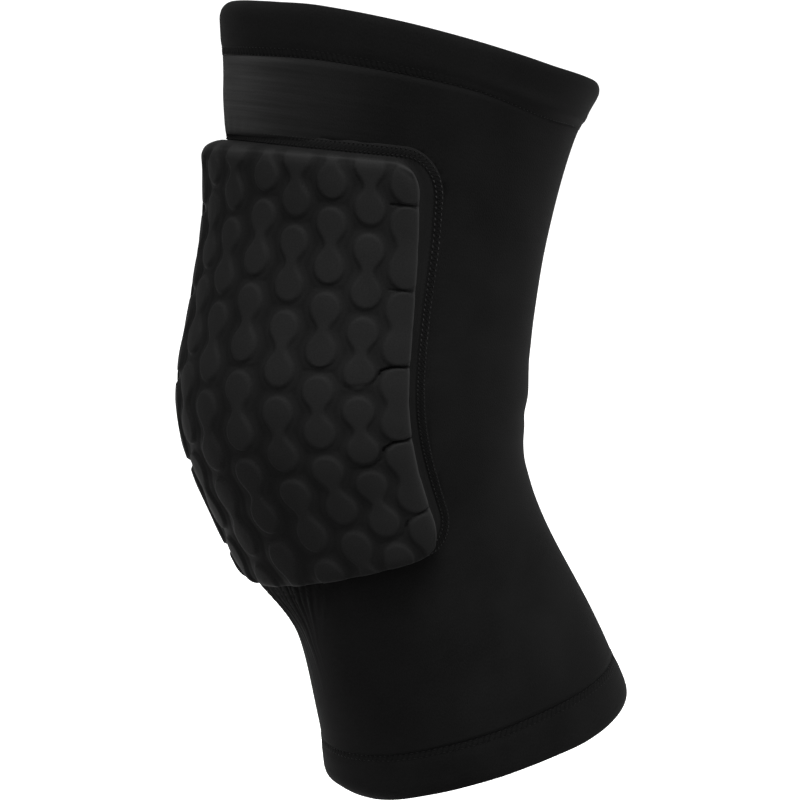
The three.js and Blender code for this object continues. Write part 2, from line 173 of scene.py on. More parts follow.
measure_along = np.linspace(-REACH_DOWN, REACH_UP, 201)
measure_line = limb_point(measure_along, np.radians(50), PAD_THICK)
measure_y = np.concatenate([[0], np.cumsum(np.linalg.norm(np.diff(measure_line, axis=0), axis=1))])
measure_y -= np.interp(0, measure_along, measure_y)
STRETCH = 1 + PAD_THICK / ((KNEE_WIDTH + KNEE_DEPTH) / 4)


def flat_point(x, y, height):
    """Lay a point of the flat pattern on the limb."""
    along = np.interp(y, measure_y, measure_along)
    return limb_point(along, angle_at(along, x / STRETCH * smooth_read(5, along)), height)


def flat_place(along, angle):
    """The other way about: where a point of the tube lies on the flat pattern."""
    row = round_row(np.asarray(along, float).ravel())
    k = np.clip(np.abs(angle).ravel() / grid_angle[1], 0, len(grid_angle) - 1.001)
    low = k.astype(int)
    n = np.arange(len(low))
    far = row[n, low] * (1 - k + low) + row[n, low + 1] * (k - low)
    x = np.sign(angle.ravel()) * far * STRETCH / smooth_read(5, along.ravel())
    return x.reshape(along.shape), np.interp(along, measure_along, measure_y), far.reshape(along.shape)


reached = float(np.interp(100, measure_y, measure_along))
print("a flat y of 100 mm lies", round(reached, 1), "mm along the limb")

# %% [markdown]
# ## The outlines of the pad and its seam
# Both are rectangles with round corners whose ends draw in a little at the front. The distance
# of a point from such an outline is all that we need: it says where the knit has its window,
# where the foam ends and where the needles went. A negative distance lies inside.

# %% Rounded outlines as distances
PAD = dict(half=101.0, high=100.6, low=61.0, top=12.0, foot=15.0, bow=2.4, flared=0)
PANEL = dict(half=108.5, high=103.1, low=65.0, top=16.5, foot=17.0, bow=2.5, flared=1)


def unbent(shape, x, y):
    """Take the bow and the flare out again, so that the outline is a plain rounded rectangle."""
    along = np.interp(y, measure_y, measure_along)
    x = x / np.where(shape["flared"], smooth_read(6, along), 1)
    end = np.where(y > 0, shape["high"], -shape["low"])
    drawn = shape["bow"] * np.clip(1 - (x / shape["half"]) ** 2, 0, 1) * (y / end) ** 2
    return x, y + np.sign(y) * drawn


def edge_distance(shape, x, y):
    x, y = unbent(shape, x, y)
    corner = np.where(y > 0, shape["top"], shape["foot"])
    middle = (shape["high"] - shape["low"]) / 2
    reach = (shape["high"] + shape["low"]) / 2
    across = np.abs(x) - shape["half"] + corner
    upward = np.abs(y - middle) - reach + corner
    outside = np.hypot(np.maximum(across, 0), np.maximum(upward, 0))
    return outside + np.minimum(np.maximum(across, upward), 0) - corner


def outline_points(shape, grow, step):
    """Points along the outline, moved outwards by grow, evenly spaced by step."""
    half, high, low = shape["half"] + grow, shape["high"] + grow, shape["low"] + grow
    line = []
    for side, end, turn in ((1, 1, 0), (-1, 1, 1), (-1, -1, 2), (1, -1, 3)):
        corner = max((shape["top"] if end > 0 else shape["foot"]) + grow, 0.3)
        middle = np.array([side * (half - corner), (high if end > 0 else -low) - end * corner])
        angles = (turn + np.linspace(0, 1, 25)) * np.pi / 2
        line.append(middle + corner * np.stack([np.cos(angles), np.sin(angles)], -1))
    line = np.concatenate([*line, line[0][:1]])
    far = np.concatenate([[0], np.cumsum(np.linalg.norm(np.diff(line, axis=0), axis=1))])
    at = np.arange(round(far[-1] / step)) * far[-1] / round(far[-1] / step)
    x, y = np.interp(at, far, line[:, 0]), np.interp(at, far, line[:, 1])
    drawn = shape["bow"] * np.clip(1 - (x / half) ** 2, 0, 1) * (y / np.where(y > 0, high, low)) ** 2
    along = np.interp(y, measure_y, measure_along)
    flare = smooth_read(6, along) if shape["flared"] else 1
    return np.stack([x * flare, y - np.sign(y) * drawn], -1)


seam_line = outline_points(PANEL, 0, 1)
seam_length = float(np.linalg.norm(np.diff(seam_line, axis=0), axis=1).sum())
print("the seam runs", round(seam_length), "mm round the pad")

# %% [markdown]
# ## One helper for every mesh
# Each piece is computed as a grid of points in millimetres. The helper turns it into a Blender
# mesh in metres, smooths its shading, gives it a map of real lengths for the weave, and hands
# over the piece. A number for each point can go along, for finishes that change over the cloth.

# %% Make a mesh piece
def make_piece(name, points, faces, finish, lengths=None, marks=None):
    mesh = bpy.data.meshes.new(name)
    mesh.from_pydata((np.asarray(points) / 1000).tolist(), [], [list(map(int, f)) for f in faces])
    mesh.update()
    mesh.shade_smooth()
    if lengths is not None:
        corners = np.empty(len(mesh.loops), dtype=np.int32)
        mesh.loops.foreach_get("vertex_index", corners)
        layer = mesh.uv_layers.new(name="lengths")
        layer.data.foreach_set("uv", (np.asarray(lengths)[corners] / 1000).astype(np.float32).ravel())
    for mark, values in (marks or {}).items():
        layer = mesh.attributes.new(mark, "FLOAT", "POINT")
        layer.data.foreach_set("value", np.asarray(values, np.float32))
    mesh.materials.append(finish)
    piece = bpy.data.objects.new(name, mesh)
    bpy.context.collection.objects.link(piece)
    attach(piece, "root")
    print(name, "has", sum(len(f) - 2 for f in faces), "triangles")
    return piece


def grid_faces(rows, columns, closed=False, first=0):
    j, i = np.meshgrid(np.arange(rows - 1), np.arange(columns if closed else columns - 1), indexing="ij")
    beside = (i + 1) % columns
    quads = np.stack([j * columns + i, j * columns + beside, (j + 1) * columns + beside,
                      (j + 1) * columns + i], -1)
    return quads.reshape(-1, 4) + first


print("a grid of 3 by 4 points has", len(grid_faces(3, 4)), "faces")

# %% [markdown]
# ## Black cloth that is not flat black
# Black polyester knit reflects about one hundredth of the light, and most of what we see of it
# is a soft sheen where the surface turns away. Fine rows of loops run round the tube, and the
# colour is never quite even. A few noise and wave textures make these, at their real sizes, and
# drive the bump. One mark paints a highlight into the colour, on the front strip above the pad and
# on the crests of the gathers, where the rows show lighter. Another mark paints shade into the
# colour, darker in the hollows between the gathers and under the pad's lower edge.

# %% Small helpers for shader nodes
def new_finish(name):
    finish = bpy.data.materials.new(name)
    finish.use_nodes = True
    nodes = finish.node_tree.nodes
    return finish, nodes, finish.node_tree.links, nodes["Principled BSDF"]


def math_node(nodes, links, operation, first, second):
    node = nodes.new("ShaderNodeMath")
    node.operation = operation
    for socket, value in zip(node.inputs, (first, second)):
        if isinstance(value, (int, float)):
            socket.default_value = value
        else:
            links.new(value, socket)
    return node.outputs[0]


def mix_colour(nodes, links, share, first, second):
    node = nodes.new("ShaderNodeMix")
    node.data_type = "RGBA"
    links.new(share, node.inputs["Factor"])
    for socket, value in ((node.inputs[6], first), (node.inputs[7], second)):
        if isinstance(value, tuple):
            socket.default_value = value
        else:
            links.new(value, socket)
    return node.outputs[2]


def noise(nodes, links, vector, scale, detail=2.0, stretch=(1, 1, 1)):
    mapping = nodes.new("ShaderNodeMapping")
    mapping.inputs["Scale"].default_value = stretch
    links.new(vector, mapping.inputs["Vector"])
    texture = nodes.new("ShaderNodeTexNoise")
    texture.inputs["Scale"].default_value = scale
    texture.inputs["Detail"].default_value = detail
    links.new(mapping.outputs[0], texture.inputs["Vector"])
    return texture.outputs["Fac"]


def grey(value):
    return (value, value, value, 1)


def mark_value(nodes, mark):
    """The value of a mark that every point carries."""
    node = nodes.new("ShaderNodeAttribute")
    node.attribute_name = mark
    return node.outputs["Fac"]


def weighed(nodes, links, first, much, second, more):
    """Two values added up, each with its own weight."""
    return math_node(nodes, links, "ADD", math_node(nodes, links, "MULTIPLY", first, much),
                     math_node(nodes, links, "MULTIPLY", second, more))


def roughen(nodes, links, cloth, heights, strength, distance):
    """Let the light see small heights on a surface."""
    bump = nodes.new("ShaderNodeBump")
    bump.inputs["Strength"].default_value = strength
    bump.inputs["Distance"].default_value = distance
    links.new(heights, bump.inputs["Height"])
    links.new(bump.outputs[0], cloth.inputs["Normal"])


print("black knit reflects about", grey(0.005)[0], "of the light")

# %% [markdown]
# Seen close, the knit has rows of loops across, about a millimetre apart, and a finer grain of
# single loops. Both are mostly noise over the map of real lengths, drawn out along the rows,
# with only a slight wave under it, because real rows are never even. Large soft spots keep the
# black from looking painted.

# %% The stretch knit
def knit_finish():
    finish, nodes, links, cloth = new_finish("stretch_knit")
    lengths = nodes.new("ShaderNodeUVMap")
    lengths.uv_map = "lengths"
    place = lengths.outputs["UV"]
    uneven = noise(nodes, links, place, 1000, 1.0, (0.02, 0.7, 1))
    wave = nodes.new("ShaderNodeTexWave")
    wave.bands_direction = "Y"
    wave.inputs["Scale"].default_value = 300
    wave.inputs["Distortion"].default_value = 3.0
    wave.inputs["Detail Scale"].default_value = 0.3
    links.new(place, wave.inputs["Vector"])
    rows = weighed(nodes, links, uneven, 0.92, wave.outputs["Fac"], 0.08)
    loops = noise(nodes, links, place, 2200, 1.0, (1.0, 0.55, 1))
    cloud = noise(nodes, links, place, 34, 4.0)
    mottled = math_node(nodes, links, "SUBTRACT", weighed(nodes, links, cloud, 1.3, loops, 0.9), 0.6)
    shade = mix_colour(nodes, links, mottled, grey(0.0022), grey(0.0074))
    # painted highlight: where the first mark says so, the knit takes a much lighter colour that shows the
    # rows
    lit_rows = mix_colour(nodes, links, rows, grey(0.016), grey(0.046))
    painted_sheen_cloth = mix_colour(nodes, links, mark_value(nodes, "painted_sheen"), shade, lit_rows)
    # painted shade: where the second mark says so, the colour goes near black
    coloured = mix_colour(nodes, links, mark_value(nodes, "painted_shade"), painted_sheen_cloth, grey(0.0016))
    links.new(coloured, cloth.inputs["Base Color"])
    roughen(nodes, links, cloth, weighed(nodes, links, rows, 0.5, loops, 0.9), 0.35, 0.00035)
    links.new(math_node(nodes, links, "ADD", math_node(nodes, links, "MULTIPLY", cloud, 0.1), 0.75),
              cloth.inputs["Roughness"])
    cloth.inputs["Specular IOR Level"].default_value = 0.03
    cloth.inputs["Sheen Weight"].default_value = 0.004
    cloth.inputs["Sheen Roughness"].default_value = 0.45
    return finish


knit = knit_finish()
print("made", knit.name)

# %% [markdown]
# ## The knit tube
# The tube is one ply of cloth between the two hems, with a window for the pad. Its points lie on
# a grid, finer at the front than behind. Points near the window's edge are moved onto it, and
# the faces inside are left out, which gives a clean edge without cutting. On top of the form
# come the things that cloth does: gathers that run down from the pad, creases behind the knee,
# and small puckers along the seam.

# %% Where the cloth stands up or sinks
GATHERS = [
    # place round the knee from the front line, how far it runs down, height
    (1.0, 1.0, 0.7), (4.2, 1.3, 1.0), (7.3, 1.0, 0.8), (10.6, 1.4, 1.1),
    (13.4, 1.6, 1.0), (16.8, 1.5, 1.1), (19.9, 1.0, 0.7), (23.0, 1.3, 0.9),
    (27.0, 1.0, 0.6), (31.5, 1.3, 0.7), (37.0, 0.8, 0.4), (43.0, 1.0, 0.35),
]
CREASES = [
    # place along the tube, width, height, tilt
    (-2, 6, 0.3, 6), (-17, 5, -0.3, -5), (-25, 6, 0.3, -7), (-38, 6, -0.25, 5), (14, 7, -0.25, 4),
]
# half a gather's width, its height and its run, and how much gathers draw together per mm
GATHER_WIDTH, GATHER_HIGH, GATHER_RUN, DRAWN_IN = 0.85, 2.0, 11.0, 0.022


def gathers(x, y):
    """Fine ridges that run down from the pad's lower edge and draw together at the front."""
    rise = np.zeros_like(x)
    down = -y - PANEL["low"] - 0.5
    for place, length, height in GATHERS:
        for side in (-1, 1):
            middle = side * place * (1 - DRAWN_IN * np.clip(down, 0, 26))
            fade = np.exp(-(np.maximum(down, 0) / (GATHER_RUN * length)) ** 1.5) * (down > -4)
            rise += height * fade * np.exp(-((x - middle) / GATHER_WIDTH) ** 2)
    return rise * GATHER_HIGH


def back_creases(along, angle):
    """Soft folds behind the knee and behind the pad's lower corner."""
    behind = np.clip((np.abs(angle) - 1.5) / 1.2, 0, 1) ** 2
    rise = np.zeros_like(along)
    for place, width, height, tilt in CREASES:
        middle = place + tilt * (np.abs(angle) - np.pi)
        rise += height * behind * np.exp(-((along - middle) / width) ** 2)
    return rise


def seam_puckers(distance, along, angle):
    """The stitches pull the knit into small even waves beside the seam."""
    turn = np.arctan2(along - 20, 60 * angle) * 58
    fade = np.exp(-((np.abs(distance) - 3.5) / 2.2) ** 2)
    return 0.10 * fade * np.sin(turn * 2 * np.pi / 5.2)


def tube_columns():
    """Angles round the tube: very close together at the gathers in front, wider behind."""
    front, side, behind = np.arange(0, 36, 0.58), np.arange(36, 72, 1.3), np.arange(72, 178.6, 2.7)
    half = np.radians(np.concatenate([front, side, behind]))
    return np.concatenate([-half[::-1][:-1], half])


def tube_rows(low, high):
    """Places along the tube, closer together where the gathers run down from the pad."""
    shin, gathered = np.linspace(low, -98, 20)[:-1], np.linspace(-98, -58, 44)[:-1]
    return np.concatenate([shin, gathered, np.linspace(-58, high, 92)])


print(len(tube_columns()), "columns round the tube")

# %% [markdown]
# A hem's sewn line is never quite level, and its rim isn't either. Two tables for each hem say how
# they wander between the front and the back, in pairs of degrees and millimetres: the lines up
# or down, the rims longer or shorter. A soft average rounds the tables off.

# %% How the sewn lines and the rims wander
THIGH_HEM, SHIN_HEM = 19.0, 16.5
LOW_JOIN, HIGH_JOIN = -REACH_DOWN + SHIN_HEM, REACH_UP - THIGH_HEM
THIGH_LINE = np.array([(0, 1.0), (20, 1.6), (40, 2.8), (60, 3.1), (80, 3.0), (95, 2.6), (105, 1.1),
                       (115, -0.8), (125, -1.7), (140, -1.4), (180, -1.2)])
SHIN_LINE = np.array([(0, 3.5), (20, 3.1), (40, 2.1), (60, 1.7), (80, 0.5), (100, -0.7), (120, -2.4),
                      (140, -3.3), (180, -3.5)])
THIGH_RIM = np.array([(0, -1.9), (12, -1.8), (24, -1.3), (38, 0.0), (55, 0.5), (70, 0.7), (90, 0.55),
                      (105, 0.35), (118, 0.2), (130, 0.8), (145, 1.4), (180, 1.0)])
SHIN_RIM = np.array([(0, 1.2), (12, 2.1), (24, 2.7), (35, 2.4), (50, 1.3), (70, 0.7), (90, 0.8),
                     (103, 1.2), (115, 2.1), (128, 2.1), (145, 1.6), (180, 1.2)])


def sewn_line(table, angle, ease=41):
    """A smooth line through the table, the same on both sides of the knee."""
    turned = np.degrees(np.abs((np.asarray(angle) + np.pi) % (2 * np.pi) - np.pi))
    fine = np.linspace(0, 180, 361)
    values = np.interp(fine, table[:, 0], table[:, 1])
    kernel = np.hanning(ease) / np.hanning(ease).sum()
    mirrored = np.concatenate([values[40:0:-1], values, values[-2:-42:-1]])
    return np.interp(turned, fine, np.convolve(mirrored, kernel, "same")[40:-40])


print("the thigh hem's line wanders by", round(float(np.ptp(sewn_line(THIGH_LINE, grid_angle))), 1), "mm")

# %% [markdown]
# The tube's points lie on a grid. Those near the window's edge, nearer than half a step of the
# grid there, are moved onto it, so that the window's edge runs clean from point to point.

# %% The tube's grid and its window
SEAM_GAP, NEAREST = 0.15, 0.62


def outline_slope(x, y, step=0.05):
    """Which way the distance from the panel's outline grows at a point."""
    across = edge_distance(PANEL, x + step, y) - edge_distance(PANEL, x - step, y)
    upward = edge_distance(PANEL, x, y + step) - edge_distance(PANEL, x, y - step)
    return across / (2 * step), upward / (2 * step)


def knit_grid():
    along, angle = np.meshgrid(tube_rows(LOW_JOIN + 0.15, HIGH_JOIN - 0.15), tube_columns(), indexing="ij")
    along = along + sewn_line(THIGH_LINE, angle) * np.clip((along - 96) / (HIGH_JOIN - 96), 0, 1) ** 2
    along = along + sewn_line(SHIN_LINE, angle) * np.clip((-96 - along) / (-96 - LOW_JOIN), 0, 1) ** 2
    x, y, far = flat_place(along, angle)
    distance = edge_distance(PANEL, x, y) - SEAM_GAP
    slope_x, slope_y = outline_slope(x, y)
    gap = np.abs(slope_x) * np.gradient(angle, axis=1) * 60 + np.abs(slope_y) * np.gradient(along, axis=0)
    near = np.abs(distance) < np.maximum(NEAREST, 0.54 * gap)
    for _ in range(3):
        slope_x, slope_y = outline_slope(x, y)
        off = np.where(near, edge_distance(PANEL, x, y) - SEAM_GAP, 0)
        x, y = x - off * slope_x, y - off * slope_y
    snapped_along = np.interp(y, measure_y, measure_along)
    snapped_angle = angle_at(snapped_along, x / STRETCH * smooth_read(5, snapped_along))
    along, angle = np.where(near, snapped_along, along), np.where(near, snapped_angle, angle)
    return along, angle, x, y, far, edge_distance(PANEL, x, y) - SEAM_GAP


along, angle, flat_x, flat_y, far, distance = knit_grid()
rows, columns = along.shape
print("the tube's grid has", rows, "rows and", columns, "columns")

# %% [markdown]
# Now the heights are added up: the gathers, the creases behind, the puckers of the seam, a soft
# swell above the pad, and the tent where the knit leaves the pad's thick lower edge. Two marks go
# with each point: a painted highlight on the front strip and the gathers' crests, and painted
# shade in the gathers' hollows and under the pad's lower edge.

# %% How high each point stands, and its marks
def window_of(value, start, width):
    """Zero up to a start, then up to one over a width."""
    return np.clip((value - start) / width, 0, 1)


below = np.maximum(-flat_y - PANEL["low"], 0)
ridges = gathers(flat_x, flat_y)
tent = 4.0 * np.exp(-(flat_x / 48) ** 2) * np.exp(-(below / 18) ** 2) * (flat_y < 0)
swell = 0.9 * np.exp(-(angle / 0.7) ** 2) * np.exp(-((along - 100) / 14) ** 2)
rise = swell + ridges + back_creases(along, angle) + seam_puckers(distance, flat_y, angle) + tent
rise *= np.clip((along - LOW_JOIN - 6) / 10, 0, 1) * np.clip((HIGH_JOIN - along) / 10, 0, 1)

# painted highlight: a lighter colour on the front strip above the pad and on the crests of the gathers
front = 0.9 * np.exp(-(angle / 0.40) ** 2) + 0.19 * np.exp(-(angle / 1.05) ** 4)
painted_sheen = front * window_of(along, 86, 8) + 1.4 * window_of(ridges / GATHER_HIGH, 0.2, 1)
painted_sheen = np.clip(painted_sheen, 0, 1)
# painted shade: a darker colour in the hollows between the gathers and in a band under the pad's lower edge
painted_shade = np.exp(-(below / 13) ** 2) * np.clip((48 - np.abs(flat_x)) / 10, 0, 1)
painted_shade *= np.clip(1 - ridges / 0.9, 0, 1)
shaded = np.exp(-(below / 7) ** 2) * window_of(np.abs(flat_x), 20, 15)
painted_shade += shaded * np.clip((104 - np.abs(flat_x)) / 8, 0, 1)
painted_shade = np.clip(painted_shade, 0, 1) * (flat_y < 0)
print("the highest gather stands", round(float(ridges.max()), 1), "mm over the form")

# %% [markdown]
# The cloth has two sides, a wall apart. Faces that lie wholly inside the window are left out, and
# narrow walls close every edge that is left, at the window and at both ends.

# %% The tube as one closed piece
outside = limb_point(along, angle, rise).reshape(-1, 3)
inside = limb_point(along, angle, rise - WALL).reshape(-1, 3)
faces = grid_faces(rows, columns, closed=True)
faces = faces[(distance.ravel()[faces] > 0.45).any(1)]
edges = np.sort(np.stack([faces, np.roll(faces, -1, 1)], -1).reshape(-1, 2), 1)
used, uses = np.unique(edges, axis=0, return_counts=True)
rim = {tuple(e) for e in used[uses == 1]}
walls = [(b, a, a + len(outside), b + len(outside)) for f in faces for a, b in zip(f, np.roll(f, -1))
         if (min(a, b), max(a, b)) in rim]
lengths = np.stack([np.sign(angle) * far, along], -1).reshape(-1, 2)
marks = {"painted_sheen": np.tile(painted_sheen.ravel(), 2), "painted_shade": np.tile(painted_shade.ravel(), 2)}
sleeve = make_piece("knit_tube", np.concatenate([outside, inside]),
                    [*faces, *(faces[:, ::-1] + len(outside)), *walls], knit,
                    np.concatenate([lengths, lengths]), marks)
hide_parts("sleeve")

# %% [markdown]
# ## The hems
# At each end the knit is turned in and sewn down, so the hem is a doubled band with a soft round
# fold at the rim. Its section is drawn once as a short closed line of (along, height) points and
# swept round the limb. Many points at the fold keep it round.

# %% Turned hems
def hem_profile(rim, height, end):
    edge = rim - end * height
    inner = -2 * WALL - 0.3
    outer = [(edge + end * place, high) for place, high in (
        (-0.11, -0.75), (-0.1, -0.12), (0, -0.03), (0.3, 0.0), (0.9, 0.08), (1.6, 0.12),
        (2.2, 0.07), (2.6, 0.1), (3.8, 0.34))]
    outer += [(edge + end * d, 0.5) for d in np.linspace(5.5, height - 4.9, 7)]
    fold = [(rim - end * 4.2 * (1 - math.sin(t) ** 0.9), inner / 2 + (0.5 - inner / 2) * math.cos(t))
            for t in np.linspace(0.22, math.pi / 2, 9)]
    fold += [(rim - end * 1.6 * (1 - math.sin(t)), inner / 2 + (inner / 2 - inner) * math.cos(t))
             for t in np.linspace(math.pi / 2 + 0.3, math.pi - 0.15, 5)]
    back = [(rim - end * d, inner) for d in np.linspace(3, height - 1, 6)]
    tuck = [(edge - end * 3.9, inner), (edge - end * 4, inner + 0.5), (edge - end * 3.9, -WALL - 0.3),
            (edge, -WALL - 0.3)]
    return np.array(outer + fold + back + tuck)


def hem_band(name, node, rim, height, end):
    profile = hem_profile(rim, height, end)
    angles = np.linspace(0, 2 * np.pi, 261)[:-1]
    place, turn = np.meshgrid(profile[:, 0], angles, indexing="ij")
    high = np.broadcast_to(profile[:, 1][:, None], place.shape)
    share = np.clip((place - (rim - end * height)) * end / height, 0, 1)
    place = place + (1 - share) * sewn_line(THIGH_LINE if end > 0 else SHIN_LINE, turn)
    from_front = np.abs((turn + np.pi) % (2 * np.pi) - np.pi)
    fold = np.exp(-((share - 0.22) / 0.14) ** 2) * np.exp(-((from_front - 2.25) / 0.45) ** 2)
    high = high + (1.3 * fold if end > 0 else 0)
    near_rim = np.clip((place - rim) * end / 6 + 1, 0, 1.1) ** 2
    in_front = 2.6 * np.exp(-((np.cos(turn) - 1) / 0.2) ** 2)
    high = high - near_rim * (in_front + 1.0 * np.exp(-((np.cos(turn) + 1) / 0.35) ** 2))
    wave = 0.35 * share * np.sin(3 * turn + 0.6) * np.clip((-np.cos(turn) - 0.3) / 0.7, 0, 1)
    loose = share ** 2 * 0.9 * np.clip(-np.cos(turn), 0, 1)
    longer = end * share ** 2 * sewn_line(THIGH_RIM if end > 0 else SHIN_RIM, turn, 25)
    points = limb_point(np.clip(place, -REACH_DOWN, REACH_UP), turn, high + wave + loose)
    leaning = lean_at(place)
    points = points + longer[..., None] * np.stack([0 * place, np.sin(leaning), np.cos(leaning)], -1)
    order = grid_faces(len(profile) + 1, len(angles), closed=True) % (len(profile) * len(angles))
    if end < 0:
        order = order[:, ::-1]
    far = np.sign(np.sin(turn)) * 60 * np.abs(np.where(turn > np.pi, 2 * np.pi - turn, turn))
    lengths = np.stack([far, place], -1).reshape(-1, 2)
    piece = make_piece(name, points.reshape(-1, 3), order, knit, lengths,
                       {"painted_sheen": np.zeros(place.size)})
    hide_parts(node)
    return piece


thigh_hem = hem_band("thigh_hem", "top_hem", REACH_UP, THIGH_HEM, 1)
shin_hem = hem_band("shin_hem", "bottom_hem", -REACH_DOWN, SHIN_HEM, -1)

# %% [markdown]
# ## The moulded pad
# Foam and cloth are pressed in a mould, which leaves raised cells shaped like bones, with soft
# edges and valleys between. The pad is a fine grid whose outer rings follow the pad's side from
# the knit up to the face, and whose middle carries the cells as heights. A distance function
# says how deep a point is inside a cell: two round lobes, joined by a neck.

# %% The height of the face
COLUMNS = [0.0, 16.2, 33.2, 50.2, 65.8, 80.8, 95.6]
FOLD_PLACES = np.array([-73.0, -41.0, -8.3, 23.0, 53.0, 84.4, 115.0])
CELL_ROW, CELL_LONG, LOBE, NECK, FACE, CELL_HIGH = 30.6, 27.4, 5.9, 2.3, 9.4, 1.35


def soft_min(a, b, blend):
    share = np.clip(0.5 + 0.5 * (b - a) / blend, 0, 1)
    return b * (1 - share) + a * share - blend * share * (1 - share)


def cell_depth(x, y):
    """Distance from the edge of the nearest cell; positive inside it."""
    best = np.full(x.shape, -99.0)
    high, low = np.clip((y - 55) / 35, 0, 1), np.clip((-10 - y) / 25, 0, 1)
    for number, column in enumerate(COLUMNS):
        for side in (-1, 1) if column else (1,):
            top = 19.2 - (8 if number % 2 else 0)
            row = np.round((y - top + CELL_LONG / 2) / CELL_ROW)
            up = y - top + CELL_LONG / 2 - row * CELL_ROW
            drift = high * 4.0 * np.exp(-((column - 30) / 17) ** 2)
            drift = drift + low * 1.8 * np.exp(-((column - 58) / 12) ** 2)
            across = x - side * (column + drift)
            half, lobe, narrow = CELL_LONG / 2, LOBE, NECK
            if number == 6:
                between = np.clip(np.searchsorted(FOLD_PLACES, y), 1, len(FOLD_PLACES) - 1)
                half = (FOLD_PLACES[between] - FOLD_PLACES[between - 1]) / 2 - 0.3
                up, lobe, narrow = y - FOLD_PLACES[between] + half + 0.3, 7.0, 4.2
            lobes = np.hypot(across, np.abs(up) - (half - lobe)) - lobe
            neck = np.maximum(np.abs(across) - narrow, np.abs(up) - half + lobe)
            best = np.maximum(best, -soft_min(lobes, neck, 2.8))
    return best


def face_height(depth):
    """Height of the face where a point lies this deep inside a cell, or outside it."""
    step = 1 / (1 + np.exp(-(depth + 0.02) / 0.17))
    crown = 0.22 * np.clip(depth / 5, 0, 1)
    pocket = 0.45 * np.clip((-depth - 1.2) / 2.2, 0, 1) ** 1.3
    return FACE + (CELL_HIGH - 0.22) * step + crown - pocket


FOLDS = [
    # depth, then the places it runs through
    (1.0, (103, 84.3), (95, 84.6), (89, 84.0)),
    (0.5, (103, 53.0), (90, 53.0)),
    (2.6, (103, 22.9), (93, 23.1), (89.2, 21.6), (87.2, 17.8), (83.5, 15.6), (75, 15.3)),
    (2.6, (103, -8.0), (93, -8.6), (89.0, -10.8), (86.8, -15.2), (83.0, -17.6), (76, -17.4)),
    (1.3, (103, -40.4), (94, -41.6), (89.5, -43.6), (86.5, -47.6), (82.5, -48.8), (77, -48.6)),
    (0.35, (75, 15.3), (72.6, 18.2), (70, 20.9), (60, 21.2)),
    (0.25, (38, 21.2), (27, 20.6)),
]


def side_folds(x, y):
    """How deep the foam folds between the cells of the outer columns, where it bends."""
    sink = np.zeros(x.shape)
    for depth, *places in FOLDS:
        near = np.full(x.shape, 99.0)
        for a, b in zip(np.array(places[:-1], float), np.array(places[1:], float)):
            run = b - a
            t = np.clip(((np.abs(x) - a[0]) * run[0] + (y - a[1]) * run[1]) / (run @ run), 0, 1)
            near = np.minimum(near, np.hypot(np.abs(x) - a[0] - t * run[0], y - a[1] - t * run[1]))
        outer = 1 - 0.5 * np.clip((np.abs(x) - 96) / 4, 0, 1)
        ease = np.clip((np.abs(x) - 74) / 6, 0, 1) * np.where(np.abs(x) < 88, 0.42, outer)
        ease = np.where(depth < 0.4, 1, ease)
        sink += depth * ease * np.exp(-(near / 0.36) ** 1.4)
    return sink


print("a cell is", CELL_LONG, "mm long and stands", CELL_HIGH, "mm high")

# %% [markdown]
# The rings of the pad's side are a short table: how far in from the outline and how high. The
# corners of the grid are rounded by a smooth map from a square to a quarter of a disc.

# %% The pad's surface
RINGS = np.array([
    # in from the outline, height, share of the lip at the shin
    (0.0, 0.15, 0.0), (-0.05, 1.1, 0.3), (0.0, 2.5, 0.65), (0.05, 4.0, 0.95), (0.1, 5.6, 1.0),
    (0.2, 6.9, 1.0), (0.42, 7.9, 1.0), (0.8, 8.6, 1.0), (1.3, 9.1, 1.0), (2.0, 9.4, 1.0),
])
LIP = 3.4
# the pad's side rises freely to RIM_FOOT, and from there to RIM_TOP it takes up the face's relief
RIM_FOOT, RIM_TOP = 3.0, 9.35
FOLD_LINES = [84.5, 53.0, 23.1, -8.3, -41.0]
# height on the pad's side, and how far the upper side leans out there
BEVEL = np.array([(1.0, -0.5), (2.5, -0.8), (4.0, -0.7), (5.6, -0.3), (6.9, 0.2), (7.9, 0.6), (9.4, 1.4)])
FOLD_STEPS = np.array([-1.1, -0.7, -0.4, -0.15, 0.1, 0.35, 0.7, 1.1])


def round_corners(x, y, shape):
    """Move the points of a rectangular grid so that its corners turn round."""
    for side, end in ((1, 1), (-1, 1), (-1, -1), (1, -1)):
        corner = max((shape["top"] if end > 0 else shape["foot"]), 1)
        middle_x = side * (shape["half"] - corner)
        middle_y = (shape["high"] - corner) if end > 0 else (-shape["low"] + corner)
        u, v = (x - middle_x) * side / corner, (y - middle_y) * end / corner
        inside = (u > 0) & (v > 0)
        round_u = u * np.sqrt(np.clip(1 - v * v / 2, 0, 1))
        round_v = v * np.sqrt(np.clip(1 - u * u / 2, 0, 1))
        x = np.where(inside, middle_x + side * round_u * corner, x)
        y = np.where(inside, middle_y + end * round_v * corner, y)
    return x, y


def pad_lines(low, high, step, folds=()):
    """Lines of the grid: the rings first, then even steps, then the rings again."""
    inner = np.linspace(low + 2.7, high - 2.7, round((high - low - 5.4) / step) + 1)
    for place in folds:
        inner = np.concatenate([inner[np.abs(inner - place) > 1.3], place + FOLD_STEPS])
    inner = np.sort(inner)
    return np.concatenate([low + RINGS[:, 0], inner, high - RINGS[::-1, 0]])


def bowed(shape, x, y):
    end = np.where(y > 0, shape["high"], shape["low"])
    return y - np.sign(y) * shape["bow"] * np.clip(1 - (x / shape["half"]) ** 2, 0, 1) * (y / end) ** 2


